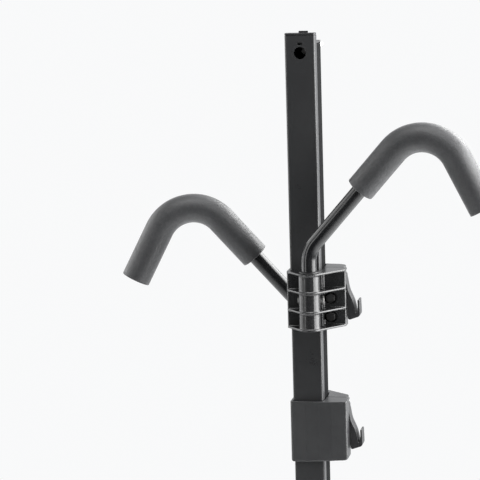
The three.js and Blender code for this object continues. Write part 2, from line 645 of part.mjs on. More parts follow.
function arm(label, carriageTop, side, socketX, leg, swing) {
  const group = new THREE.Group();
  group.position.set(socketX, side * SOCKET_Y, carriageTop + leg);
  group.rotation.z = swing;
  const corners = armCorners(leg + ROD_INSERT);
  const path = bentPath(corners, [LOWER_BEND, UPPER_BEND]);
  const total = path.getLength();
  const foamFrom = total - foamLength(corners);
  const rodEnd = total - 6;

  const grooveZ = -leg - RETAINER_DROP;
  const collar = shape(
    [bar('z', ROD_RADIUS + 4, grooveZ - 4, grooveZ + 4, 0, 0, 20)],
    [bar('z', GROOVE_RADIUS, grooveZ - 5, grooveZ + 5, 0, 0, 20)],
  );
  const rod = shape([sweep(path, ROD_RADIUS, 0, rodEnd, 16, 12)], [collar]);
  group.add(piece(`${label}_arm_rod`, rod, BLACK_PAINT));

  const sleeve = sweep(path, FOAM_RADIUS, foamFrom, total, 16, 12);
  const hollow = sweep(path, ROD_RADIUS + 0.6, foamFrom - 8, total - 4, 12, 12);
  group.add(piece(`${label}_arm_foam_sleeve`, shape([sleeve], [hollow]), FOAM_RUBBER));
  return group;
}

// Length of the padded stretch, measured back from the tip.
function foamLength(corners) {
  const share = FOAM_START / corners[1].distanceTo(corners[2]);
  const tail = [corners[1].clone().lerp(corners[2], share), ...corners.slice(2)];
  return bentPath(tail, [UPPER_BEND]).getLength();
}

function socketBush(label, carriageTop, side, socketX) {
  const group = new THREE.Group();
  group.position.z = carriageTop;
  const sleeve = bush(socketX, side * SOCKET_Y, -RETAINER_DROP + 6, GAP + 0.5);
  group.add(piece(`${label}_socket_bush`, sleeve, BLACK_PLASTIC));
  return group;
}

// ---------------------------------------------------------------- assembly

const rack = new THREE.Group();
const onMast = new THREE.Group();
onMast.position.y = -WALL_TO_MAST;
rack.add(onMast);

onMast.add(mast());
onMast.add(topWallStud());
onMast.add(wallFixings());

onMast.add(carriage('upper', UPPER_CARRIAGE_TOP, -1, SOCKET_X));
onMast.add(socketBush('upper', UPPER_CARRIAGE_TOP, -1, SOCKET_X));
onMast.add(arm('upper', UPPER_CARRIAGE_TOP, -1, SOCKET_X, NEAR_LEG, NEAR_SWING));

onMast.add(carriage('lower', LOWER_CARRIAGE_TOP, 1, -SOCKET_X));
onMast.add(socketBush('lower', LOWER_CARRIAGE_TOP, 1, -SOCKET_X));
onMast.add(arm('lower', LOWER_CARRIAGE_TOP, 1, -SOCKET_X, FAR_LEG, FAR_SWING));

export default rack;
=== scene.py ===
"""Looks of a wall-mounted bicycle rack: a mast, two cam-locked carriages and two foam-covered arms.

Every length is in metres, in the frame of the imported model. The wall is at y = 0 and the room is
towards -y.
"""

import json
import logging
import math
from collections.abc import Callable, Iterable
from dataclasses import dataclass, field
from enum import Enum
from typing import Any

import bmesh
import bpy
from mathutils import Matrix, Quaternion, Vector


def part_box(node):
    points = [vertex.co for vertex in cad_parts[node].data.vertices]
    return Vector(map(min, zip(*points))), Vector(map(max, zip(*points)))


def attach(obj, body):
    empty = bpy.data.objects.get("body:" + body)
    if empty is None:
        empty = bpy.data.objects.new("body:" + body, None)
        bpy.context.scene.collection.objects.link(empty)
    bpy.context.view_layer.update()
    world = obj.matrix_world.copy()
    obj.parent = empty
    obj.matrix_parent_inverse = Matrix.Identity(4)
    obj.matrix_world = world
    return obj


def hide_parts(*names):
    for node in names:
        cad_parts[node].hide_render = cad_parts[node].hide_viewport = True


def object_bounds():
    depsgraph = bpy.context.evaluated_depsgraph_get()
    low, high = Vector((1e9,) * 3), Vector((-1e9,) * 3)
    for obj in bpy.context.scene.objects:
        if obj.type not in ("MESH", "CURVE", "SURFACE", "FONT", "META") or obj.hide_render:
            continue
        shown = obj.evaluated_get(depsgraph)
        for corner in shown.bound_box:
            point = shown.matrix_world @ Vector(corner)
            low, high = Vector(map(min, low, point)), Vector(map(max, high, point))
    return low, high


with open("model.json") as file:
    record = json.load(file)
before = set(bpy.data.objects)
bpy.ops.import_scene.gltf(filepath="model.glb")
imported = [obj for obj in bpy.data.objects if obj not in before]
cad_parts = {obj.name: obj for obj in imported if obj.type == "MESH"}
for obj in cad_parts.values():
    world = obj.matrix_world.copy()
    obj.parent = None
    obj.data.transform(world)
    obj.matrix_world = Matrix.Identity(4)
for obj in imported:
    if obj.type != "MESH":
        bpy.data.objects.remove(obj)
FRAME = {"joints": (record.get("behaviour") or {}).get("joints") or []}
CAD_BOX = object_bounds()

MM = 0.001
LOG = logging.getLogger("bicycle_rack")

Colour = tuple[float, float, float]


# ------------------------------------------------------------------ shader maths


class NodeTree:
    """The nodes of a material or of the surroundings, all added in one way."""

    def __init__(self, tree: bpy.types.NodeTree) -> None:
        """Wraps `tree`."""
        self.nodes = tree.nodes
        self.links = tree.links

    def node(self, kind: str, settings: dict | None = None, inputs: dict | None = None) -> bpy.types.Node:
        """Adds a node.

        Args:
            kind: the node's type.
            settings: properties, which are set first.
            inputs: values, Values or output sockets, by socket name or number.

        Returns:
            The new node.
        """
        made = self.nodes.new(kind)
        for key, value in (settings or {}).items():
            setattr(made, key, value)
        for key, value in (inputs or {}).items():
            self.feed(made.inputs[key], value)
        return made

    def feed(self, socket: bpy.types.NodeSocket, value: Any) -> None:
        """Links or sets one input socket.

        Args:
            socket: the input.
            value: a Value or an output socket to link, or a constant to set.
        """
        if isinstance(value, Value):
            self.links.new(value.socket, socket)
        elif isinstance(value, bpy.types.NodeSocket):
            self.links.new(value, socket)
        else:
            socket.default_value = value


class Value:
    """One number that varies over a surface, held as a node's output socket."""

    def __init__(self, tree: NodeTree, socket: bpy.types.NodeSocket) -> None:
        """Wraps `socket` of `tree`."""
        self.tree = tree
        self.socket = socket

    def _math(self, operation: str, first: Any, second: Any) -> "Value":
        """Adds a Math node for `first` operation `second` and returns its result."""
        out = self.tree.node("ShaderNodeMath", {"operation": operation}, {0: first, 1: second})
        return Value(self.tree, out.outputs[0])

    def __add__(self, other: Any) -> "Value":
        """Sum."""
        return self._math("ADD", self, other)

    __radd__ = __add__

    def __mul__(self, other: Any) -> "Value":
        """Product."""
        return self._math("MULTIPLY", self, other)

    __rmul__ = __mul__

    def __sub__(self, other: Any) -> "Value":
        """Difference."""
        return self._math("SUBTRACT", self, other)

    def __rsub__(self, other: Any) -> "Value":
        """Difference with the number first."""
        return self._math("SUBTRACT", other, self)


class Shader(NodeTree):
    """A material under construction: one Principled shader and the nodes that feed it."""

    def __init__(self, name: str) -> None:
        """Starts an empty node material.

        Args:
            name: the material's name.
        """
        self.material = bpy.data.materials.new(name)
        self.material.use_nodes = True
        super().__init__(self.material.node_tree)
        self.surface = self.nodes["Principled BSDF"]
        self.place = self.node("ShaderNodeTexCoord").outputs["Object"]

    def noise(self, scale: float, detail: float = 3.0, rough: float = 0.5) -> Value:
        """Makes a cloudy value from 0 to 1.

        Args:
            scale: features per metre.
            detail: how many finer layers are added.
            rough: how strong the finer layers are.

        Returns:
            The value.
        """
        inputs = {"Vector": self.place, "Scale": scale, "Detail": detail, "Roughness": rough}
        made = self.node("ShaderNodeTexNoise", None, inputs)
        return Value(self, made.outputs["Fac"])

    def cells(self, scale: float) -> Value:
        """Distance to the nearest of scattered points, `scale` per metre."""
        made = self.node("ShaderNodeTexVoronoi", None, {"Vector": self.place, "Scale": scale})
        return Value(self, made.outputs["Distance"])

    def ramp(self, value: Value, low: float, high: float) -> Value:
        """Spreads part of a value's span over 0 to 1.

        Args:
            value: the value to spread.
            low: what becomes 0, and all below it.
            high: what becomes 1, and all above it.

        Returns:
            The spread value.
        """
        span = {"Value": value, "From Min": low, "From Max": high, "To Min": 0.0, "To Max": 1.0}
        made = self.node("ShaderNodeMapRange", {"clamp": True}, span)
        return Value(self, made.outputs["Result"])

    def mix(self, factor: Value, first: Colour, second: Colour) -> bpy.types.NodeSocket:
        """Blends two colours.

        Args:
            factor: 0 for the first colour, 1 for the second.
            first: the first colour.
            second: the second colour.

        Returns:
            The blended colour's socket.
        """
        inputs = {0: factor, 6: (*first, 1.0), 7: (*second, 1.0)}
        return self.node("ShaderNodeMix", {"data_type": "RGBA"}, inputs).outputs[2]

    def bump(self, height: Value, distance: float, strength: float = 1.0) -> None:
        """Roughens the surface.

        Args:
            height: how high each place stands, from 0 to 1.
            distance: what a height of 1 stands for, in metres.
            strength: how much of it shows.
        """
        inputs = {"Height": height, "Distance": distance, "Strength": strength}
        made = self.node("ShaderNodeBump", None, inputs)
        self.feed(self.surface.inputs["Normal"], made.outputs["Normal"])

    def set(self, **sockets: Any) -> None:
        """Sets Principled sockets; an underscore in a name stands for a space."""
        for name, value in sockets.items():
            self.feed(self.surface.inputs[name.replace("_", " ")], value)


# ------------------------------------------------------------------ finishes


@dataclass(frozen=True)
class PowderCoat:
    """Black powder coat with a faint orange peel and dust in broad patches."""

    name: str = "powder_coat"
    dark: Colour = (0.019, 0.0194, 0.0202)
    dusty: Colour = (0.025, 0.0254, 0.0262)
    rough: float = 0.24
    shine: float = 0.42
    peel: float = 0.03 * MM

    def material(self) -> bpy.types.Material:
        """Builds the material.

        Returns:
            The material.
        """
        s = Shader(self.name)
        patch = s.ramp(s.noise(9.0, 4.0, 0.6), 0.35, 0.7)
        peel = s.noise(900.0, 2.0)
        tone = s.mix(patch, self.dark, self.dusty)
        s.set(Base_Color=tone, Roughness=self.rough + patch * 0.08 + peel * 0.06)
        s.set(Specular_IOR_Level=self.shine)
        s.bump(peel, self.peel, 0.5)
        return s.material


@dataclass(frozen=True)
class CastPaint:
    """Paint over a die casting: a fine pebbled skin that is smoother where hands rub it."""

    name: str = "cast_paint_painted_shade"
    # The default tones are painted shade: a darker copy of the cover's paint that stands in for the
    # shadow in the socket half's pockets.
    dark: Colour = (0.007, 0.0072, 0.0077)
    worn: Colour = (0.013, 0.0133, 0.014)
    rough: float = 0.26
    shine: float = 0.6
    pebbles: float = 0.04 * MM

    def material(self) -> bpy.types.Material:
        """Builds the material.

        Returns:
            The material.
        """
        s = Shader(self.name)
        rub = s.ramp(s.noise(38.0, 4.0, 0.6), 0.4, 0.72)
        pebble = s.cells(1500.0) * 0.6 + s.noise(2600.0, 2.0) * 0.4
        tone = s.mix(rub, self.dark, self.worn)
        s.set(Base_Color=tone, Roughness=self.rough - rub * 0.06 + pebble * 0.08)
        s.set(Specular_IOR_Level=self.shine)
        s.bump(pebble, self.pebbles, 0.4)
        return s.material


@dataclass(frozen=True)
class RodPaint:
    """Semi-gloss black paint on round bar, hazed where it has been handled."""

    name: str = "rod_paint"
    dark: Colour = (0.0055, 0.0057, 0.0062)
    hazed: Colour = (0.010, 0.0103, 0.0109)
    rough: float = 0.15
    shine: float = 0.4
    grain: float = 0.02 * MM

    def material(self) -> bpy.types.Material:
        """Builds the material.

        Returns:
            The material.
        """
        s = Shader(self.name)
        haze = s.ramp(s.noise(26.0, 3.0), 0.35, 0.75)
        grain = s.noise(1300.0, 2.0)
        tone = s.mix(haze, self.dark, self.hazed)
        s.set(Base_Color=tone, Roughness=self.rough + haze * 0.08 + grain * 0.05)
        s.set(Specular_IOR_Level=self.shine)
        s.bump(grain, self.grain, 0.5)
        return s.material


@dataclass(frozen=True)
class Foam:
    """Closed-cell foam rubber: matt and mottled, with fine pores."""

    name: str = "foam_rubber"
    dark: Colour = (0.011, 0.0114, 0.0124)
    pale: Colour = (0.033, 0.0338, 0.0356)
    rough: float = 0.44
    sheen: float = 0.12
    sheen_rough: float = 0.5
    pitting: float = 0.32 * MM

    def material(self) -> bpy.types.Material:
        """Builds the material.

        Returns:
            The material.
        """
        s = Shader(self.name)
        pores = s.cells(1100.0)
        skin = s.noise(2100.0, 3.0, 0.7)
        cloud = s.ramp(s.noise(30.0, 4.0, 0.65), 0.35, 0.7)
        speck = s.ramp(s.noise(700.0, 2.0), 0.45, 0.62)
        mottle = s.ramp(s.noise(330.0, 3.0, 0.7), 0.3, 0.7)
        tone = s.mix(cloud * 0.3 + speck * 0.3 + mottle * 0.4, self.dark, self.pale)
        s.set(Base_Color=tone, Roughness=self.rough + cloud * 0.08 + speck * 0.06)
        s.set(Sheen_Weight=self.sheen, Sheen_Roughness=self.sheen_rough)
        s.bump(pores * 0.5 + skin * 0.3 + mottle * 0.35, self.pitting, 0.8)
        return s.material


@dataclass(frozen=True)
class MouldedPlastic:
    """Black moulded plastic with a fine spark-eroded grain."""

    name: str = "moulded_plastic"
    dark: Colour = (0.010, 0.0102, 0.011)
    hazed: Colour = (0.017, 0.0172, 0.018)
    rough: float = 0.34
    grain: float = 0.04 * MM

    def material(self) -> bpy.types.Material:
        """Builds the material.

        Returns:
            The material.
        """
        s = Shader(self.name)
        haze = s.ramp(s.noise(60.0, 3.0), 0.4, 0.7)
        grain = s.noise(3200.0, 2.0)
        s.set(Base_Color=s.mix(haze, self.dark, self.hazed), Roughness=self.rough + grain * 0.14)
        s.bump(grain, self.grain, 0.6)
        return s.material


@dataclass(frozen=True)
class BlackOxide:
    """Oiled black oxide on steel screws, thinner and browner in patches."""

    name: str = "black_oxide"
    dark: Colour = (0.008, 0.008, 0.0085)
    thinned: Colour = (0.02, 0.019, 0.018)
    rough: float = 0.55
    grain: float = 0.03 * MM

    def material(self) -> bpy.types.Material:
        """Builds the material.

        Returns:
            The material.
        """
        s = Shader(self.name)
        thin = s.ramp(s.noise(420.0, 4.0, 0.6), 0.45, 0.75)
        s.set(Base_Color=s.mix(thin, self.dark, self.thinned), Roughness=self.rough - thin * 0.1)
        s.bump(s.noise(3600.0, 2.0), self.grain, 0.5)
        return s.material


@dataclass(frozen=True)
class Zinc:
    """Bright zinc plate with cloudy passivation and a fine grain."""

    name: str = "zinc_plate"
    bright: Colour = (0.52, 0.53, 0.55)
    clouded: Colour = (0.66, 0.65, 0.61)
    rough: float = 0.24
    grain: float = 0.03 * MM

    def material(self) -> bpy.types.Material:
        """Builds the material.

        Returns:
            The material.
        """
        s = Shader(self.name)
        cloud = s.ramp(s.noise(220.0, 4.0, 0.6), 0.3, 0.7)
        grain = s.noise(4200.0, 1.0)
        tone = s.mix(cloud, self.bright, self.clouded)
        s.set(Base_Color=tone, Roughness=self.rough + cloud * 0.16 + grain * 0.06, Metallic=1.0)
        s.bump(grain, self.grain, 0.5)
        return s.material


@dataclass(frozen=True)
class Nylon:
    """Natural nylon, pale and scuffed."""

    name: str = "nylon"
    clean: Colour = (0.66, 0.64, 0.58)
    scuffed: Colour = (0.52, 0.51, 0.47)
    rough: float = 0.4
    scuffs: float = 0.04 * MM

    def material(self) -> bpy.types.Material:
        """Builds the material.

        Returns:
            The material.
        """
        s = Shader(self.name)
        scuff = s.ramp(s.noise(300.0, 4.0, 0.65), 0.4, 0.75)
        s.set(Base_Color=s.mix(scuff, self.clean, self.scuffed), Roughness=self.rough + scuff * 0.2)
        s.bump(scuff, self.scuffs, 0.5)
        return s.material


TEXTURED_COAT = PowderCoat(
    name="textured_coat",
    dark=(0.006, 0.0062, 0.0066),
    dusty=(0.009, 0.0092, 0.0096),
    rough=0.8,
    shine=0.03,
    peel=0.1 * MM,
)
# The lighter copy of the same cast paint, for the cover half; the darker default on the socket half is
# painted shade.
COVER_PAINT_LIT_COPY = CastPaint(
    name="cover_paint_lit_copy", dark=(0.019, 0.0195, 0.0205), worn=(0.028, 0.0285, 0.0295), rough=0.34
)


class Look(Enum):
    """The finishes of the rack's pieces."""

    PAINT = PowderCoat()
    TEXTURED = TEXTURED_COAT
    # The socket half's paint is a darker copy of the cover's paint, as painted shade for its pockets.
    CASTING_PAINTED_SHADE = CastPaint()
    COVER_LIT_COPY = COVER_PAINT_LIT_COPY
    ROD = RodPaint()
    FOAM = Foam()
    PLASTIC = MouldedPlastic()
    ZINC = Zinc()
    OXIDE = BlackOxide()
    NYLON = Nylon()


class Wardrobe:
    """Makes each finish once and hands it out."""

    def __init__(self) -> None:
        """Starts with nothing made."""
        self.made: dict[Look, bpy.types.Material] = {}

    def dress(self, piece: bpy.types.Object, look: Look) -> None:
        """Gives a piece its finish.

        Args:
            piece: the piece.
            look: the finish.
        """
        if look not in self.made:
            self.made[look] = look.value.material()
        piece.data.materials.clear()
        piece.data.materials.append(self.made[look])


# ------------------------------------------------------------------ mesh tools


MERGE_GAP = 0.002 * MM
FLAT_DEGREES = 0.6
BEVEL_DEGREES = 40
SHARP_DEGREES = 32
THREAD_SHARP_DEGREES = 50
ROD_SHARP_DEGREES = 30
FOAM_SHARP_DEGREES = 60

def add_object(name: str, data: bpy.types.ID) -> bpy.types.Object:
    """Puts a mesh, a camera or a light in the scene.

    Args:
        name: the object's name.
        data: the mesh, camera or light.

    Returns:
        The new object.
    """
    made = bpy.data.objects.new(name, data)
    bpy.context.scene.collection.objects.link(made)
    return made


def mesh_from(name: str, build: Callable[[bmesh.types.BMesh], None]) -> bpy.types.Object:
    """Makes an object with its faces pointing out.

    Args:
        name: the object's name.
        build: fills an empty mesh.

    Returns:
        The new object.
    """
    work = bmesh.new()
    build(work)
    bmesh.ops.recalc_face_normals(work, faces=work.faces)
    mesh = bpy.data.meshes.new(name)
    work.to_mesh(mesh)
    work.free()
    return add_object(name, mesh)


def smooth_by_angle(piece: bpy.types.Object, degrees: float) -> None:
    """Shades smooth, except across sharp edges.

    Args:
        piece: the object to shade.
        degrees: the angle from which an edge counts as sharp.
    """
    mesh = piece.data
    work = bmesh.new()
    work.from_mesh(mesh)
    limit = math.radians(degrees)
    for face in work.faces:
        face.smooth = True
    for edge in work.edges:
        edge.smooth = len(edge.link_faces) == 2 and edge.calc_face_angle(0.0) < limit
    work.to_mesh(mesh)
    work.free()


def apply_modifiers(piece: bpy.types.Object) -> None:
    """Turns modifiers into plain mesh.

    Args:
        piece: the object whose modifiers are applied.
    """
    seen = piece.evaluated_get(bpy.context.evaluated_depsgraph_get())
    mesh = bpy.data.meshes.new_from_object(seen)
    piece.modifiers.clear()
    piece.data = mesh


def clean_copy(node: str, name: str) -> bpy.types.Object:
    """Copies a CAD solid, merged and without its triangulation.

    Args:
        node: the CAD node.
        name: the copy's name.

    Returns:
        The copy.
    """
    work = bmesh.new()
    work.from_mesh(bpy.data.objects[node].data)
    bmesh.ops.remove_doubles(work, verts=work.verts, dist=MERGE_GAP)
    flat = math.radians(FLAT_DEGREES)
    bmesh.ops.dissolve_limit(work, angle_limit=flat, verts=work.verts, edges=work.edges)
    mesh = bpy.data.meshes.new(name)
    work.to_mesh(mesh)
    work.free()
    return add_object(name, mesh)


def machined(node: str, name: str, edge: float) -> bpy.types.Object:
    """Copies a CAD solid with its sharp edges broken.

    Args:
        node: the CAD node.
        name: the copy's name.
        edge: width of the broken edge, or 0 to keep it sharp.

    Returns:
        The copy.
    """
    piece = clean_copy(node, name)
    if edge > 0:
        bevel = piece.modifiers.new("edges", "BEVEL")
        bevel.width = edge
        bevel.segments = 2
        bevel.limit_method = "ANGLE"
        bevel.angle_limit = math.radians(BEVEL_DEGREES)
        apply_modifiers(piece)
    smooth_by_angle(piece, SHARP_DEGREES)
    flats = piece.modifiers.new("flats", "WEIGHTED_NORMAL")
    flats.weight = 100
    flats.keep_sharp = True
    apply_modifiers(piece)
    return piece


def cast(node: str, name: str, voxel: float, rounds: int, keep: float) -> bpy.types.Object:
    """Copies a CAD solid with the soft edges and fillets of a casting.

    Args:
        node: the CAD node.
        name: the new piece's name.
        voxel: size of the grid that the skin is rebuilt on.
        rounds: how often the skin is relaxed.
        keep: share of the faces kept at the end.

    Returns:
        The new piece.
    """
    piece = clean_copy(node, name)
    remesh = piece.modifiers.new("skin", "REMESH")
    remesh.mode = "VOXEL"
    remesh.voxel_size = voxel
    relax = piece.modifiers.new("relax", "SMOOTH")
    relax.factor = 0.5
    relax.iterations = rounds
    thin = piece.modifiers.new("thin", "DECIMATE")
    thin.ratio = keep
    apply_modifiers(piece)
    for face in piece.data.polygons:
        face.use_smooth = True
    return piece


def loft(work: bmesh.types.BMesh, rings: list[list[Vector]]) -> None:
    """Skins a row of rings with quads and closes each end with one face.

    Args:
        work: the mesh to add to.
        rings: the rings, all with the same number of points.
    """
    rows = [[work.verts.new(point) for point in ring] for ring in rings]
    for low, high in zip(rows, rows[1:]):
        count = len(low)
        for i in range(count):
            j = (i + 1) % count
            work.faces.new((low[i], low[j], high[j], high[i]))
    work.faces.new(list(reversed(rows[0])))
    work.faces.new(rows[-1])


# ------------------------------------------------------------------ studio


def outward(azimuth: float, height: float) -> Vector:
    """Points from the rack into the room.

    Args:
        azimuth: degrees from straight in front towards the right.
        height: degrees above the level.

    Returns:
        The unit direction.
    """
    a, e = math.radians(azimuth), math.radians(height)
    return Vector((math.sin(a) * math.cos(e), -math.cos(a) * math.cos(e), math.sin(e)))


@dataclass(frozen=True)
class Softbox:
    """One rectangular soft light: where it hangs, how wide and tall it is, and its watts."""

    name: str
    azimuth: float
    height: float
    away: float
    size: tuple[float, float]
    power: float

    def hang(self, centre: Vector) -> None:
        """Hangs the light.

        Args:
            centre: the point that it faces.
        """
        out = outward(self.azimuth, self.height)
        data = bpy.data.lights.new(self.name, "AREA")
        data.shape = "RECTANGLE"
        data.size, data.size_y = self.size
        data.energy = self.power
        lamp = add_object(self.name, data)
        lamp.location = centre + out * self.away
        lamp.rotation_mode = "QUATERNION"
        lamp.rotation_quaternion = (-out).to_track_quat("-Z", "Y")
        lamp.visible_camera = False


SOFTBOXES = (
    Softbox("right_box", 88, 12, 1.5, (1.7, 1.5), 90),
    Softbox("rim_box", 142, 34, 1.9, (1.3, 1.0), 46),
    Softbox("left_box", -95, 14, 1.7, (1.8, 1.5), 27),
    Softbox("top_box", 10, 70, 1.8, (1.5, 1.1), 34),
    Softbox("front_left_strip", -44, 6, 2.1, (0.4, 1.5), 10),
)


@dataclass
class Studio:
    """Camera, floor, lights and surroundings."""

    azimuth: float = 10.93
    fall: float = 8.41
    roll: float = 1.62
    distance: float = 2.289
    lens: float = 172.0
    sensor: float = 36.0
    aim_below_top: float = 0.2037
    aim_left: float = 0.0682
    lit_below_top: float = 0.3
    floor_drop: float = 0.32
    floor_radius: float = 1.9
    floor_sides: int = 96
    fade_from: float = 0.45
    fade_to: float = 0.98
    floor_rough: float = 0.9
    floor_tones: tuple[Colour, Colour] = ((0.86, 0.87, 0.88), (0.9, 0.9, 0.9))
    room_colour: Colour = (0.97, 0.98, 1.0)
    room_span: tuple[float, float] = (-0.45, 0.55)
    room_light: tuple[float, float] = (0.09, 0.86)
    backdrop: Colour = (0.945, 0.95, 0.955)

    def build(self, low: Vector, mast_top: Vector) -> None:
        """Makes the camera first, then the floor, the lights and the surroundings.

        Args:
            low: the rack's lowest corner.
            mast_top: the middle of the mast's top.
        """
        self.camera(mast_top + Vector((-self.aim_left, 0.0, -self.aim_below_top)))
        self.floor(Vector((mast_top.x, mast_top.y, low.z - self.floor_drop)))
        for box in SOFTBOXES:
            box.hang(mast_top - Vector((0.0, 0.0, self.lit_below_top)))
        self.surroundings()

    def camera(self, aim: Vector) -> None:
        """Places the camera.

        Args:
            aim: the point that it looks at.
        """
        ahead = -outward(self.azimuth, self.fall)
        data = bpy.data.cameras.new("camera")
        data.lens = self.lens
        data.sensor_width = self.sensor
        eye = add_object("camera", data)
        eye.location = aim - ahead * self.distance
        eye.rotation_mode = "QUATERNION"
        turn = Quaternion((0, 0, 1), -math.radians(self.roll))
        eye.rotation_quaternion = ahead.to_track_quat("-Z", "Y") @ turn
        bpy.context.scene.camera = eye

    def floor(self, centre: Vector) -> None:
        """Lays a round pale floor that fades out at its rim.

        Args:
            centre: the floor's middle.
        """
        radius = self.floor_radius

        def build(work: bmesh.types.BMesh) -> None:
            """Fills the floor's one face.

            Args:
                work: the mesh to fill.
            """
            turns = [2.0 * math.pi * i / self.floor_sides for i in range(self.floor_sides)]
            ring = [centre + Vector((math.cos(t), math.sin(t), 0.0)) * radius for t in turns]
            work.faces.new([work.verts.new(point) for point in ring])

        floor = mesh_from("floor", build)
        s = Shader("floor")
        grain = s.noise(3.0, 3.0)
        away = s.node("ShaderNodeVectorMath", {"operation": "DISTANCE"}, {0: s.place, 1: centre})
        reach = Value(s, away.outputs["Value"])
        fade = 1.0 - s.ramp(reach, radius * self.fade_from, radius * self.fade_to)
        s.set(Base_Color=s.mix(grain, *self.floor_tones), Alpha=fade, Roughness=self.floor_rough)
        floor.data.materials.append(s.material)

    def surroundings(self) -> None:
        """Makes a room that is bright behind the rack, dim in front and pale to the eye."""
        world = bpy.data.worlds.new("surroundings")
        world.use_nodes = True
        tree = NodeTree(world.node_tree)
        place = tree.node("ShaderNodeTexCoord").outputs["Generated"]
        depth = tree.node("ShaderNodeSeparateXYZ", None, {"Vector": place}).outputs["Y"]
        span = dict(zip(("From Min", "From Max", "To Min", "To Max"), self.room_span + self.room_light))
        inputs = {"Value": depth, **span}
        smooth = {"interpolation_type": "SMOOTHSTEP"}
        light = tree.node("ShaderNodeMapRange", smooth, inputs)
        room = tree.nodes["Background"]
        tree.feed(room.inputs["Strength"], light.outputs["Result"])
        tree.feed(room.inputs["Color"], (*self.room_colour, 1.0))
        sheet = tree.node("ShaderNodeBackground", None, {"Color": (*self.backdrop, 1.0)})
        seen = tree.node("ShaderNodeLightPath").outputs["Is Camera Ray"]
        shaders = {0: seen, 1: room.outputs["Background"], 2: sheet.outputs["Background"]}
        choice = tree.node("ShaderNodeMixShader", None, shaders)
        tree.feed(tree.nodes["World Output"].inputs["Surface"], choice.outputs["Shader"])
        bpy.context.scene.world = world


# ------------------------------------------------------------------ sub-assemblies


@dataclass
class Assembly:
    """Shared work of the sub-assemblies: placing, dressing and reporting pieces."""

    wardrobe: Wardrobe
    body: str

    def place(self, piece: bpy.types.Object, look: Look, node: str, body: str | None = None) -> None:
        """Dresses a piece and puts it in the place of its CAD node.

        Args:
            piece: the finished piece.
            look: its finish.
            node: the CAD node that it stands for.
            body: the body that it rides on, if not the assembly's own.
        """
        self.wardrobe.dress(piece, look)
        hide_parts(node)
        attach(piece, body or self.body)
        LOG.info("%s: %d faces, rides on %s", piece.name, len(piece.data.polygons), body or self.body)

    def machined_nodes(
        self, nodes: Iterable[str], look: Look, edge: float, body: str | None = None
    ) -> None:
        """Refines several CAD solids in one way.

        Args:
            nodes: the CAD nodes.
            look: their finish.
            edge: width of their broken edges.
            body: the body that they ride on, if not the assembly's own.
        """
        for node in nodes:
            self.place(machined(node, f"{node}_finished", edge), look, node, body=body)


@dataclass
class Threads:
    """A screw thread cut on a round shank that lies along y."""

    radius: float
    pitch: float
    depth: float
    sides: int = 20
    per_turn: int = 6
    blunt: float = 0.06

    def rings(self, axis: Vector, start: float, end: float, tip: float) -> list[list[Vector]]:
        """Rings of the threaded shank.

        Args:
            axis: any point on the shank's centre line.
            start: where the thread begins along y.
            end: the very tip along y.
            tip: length of the pointed end.

        Returns:
            The rings, from start to end.
        """
        rows = []
        count = int((end - start) / self.pitch * self.per_turn)
        for row in range(count + 1):
            along = start + (end - start) * row / count
            taper = min(1.0, (end - along) / tip + self.blunt)
            ring = []
            for side in range(self.sides):
                turn = side / self.sides
                phase = ((along - start) / self.pitch - turn) % 1.0
                ridge = 1.0 - abs(2.0 * phase - 1.0)
                reach = (self.radius - self.depth * (1.0 - ridge)) * taper
                angle = 2.0 * math.pi * turn
                x, z = axis.x + reach * math.cos(angle), axis.z + reach * math.sin(angle)
                ring.append(Vector((x, along, z)))
            rows.append(ring)
        return rows


@dataclass
class Mast(Assembly):
    """Front channel, rear tube and their four caps."""

    edge: float = 0.0004

    def build(self) -> None:
        """Makes every piece of the mast."""
        self.machined_nodes(("mast_front_channel",), Look.PAINT, 0.0)
        self.machined_nodes(("mast_rear_tube",), Look.TEXTURED, 0.0)
        caps = [f"{part}_{end}_cap" for part in ("channel", "tube") for end in ("top", "bottom")]
        self.machined_nodes(caps, Look.PLASTIC, self.edge)


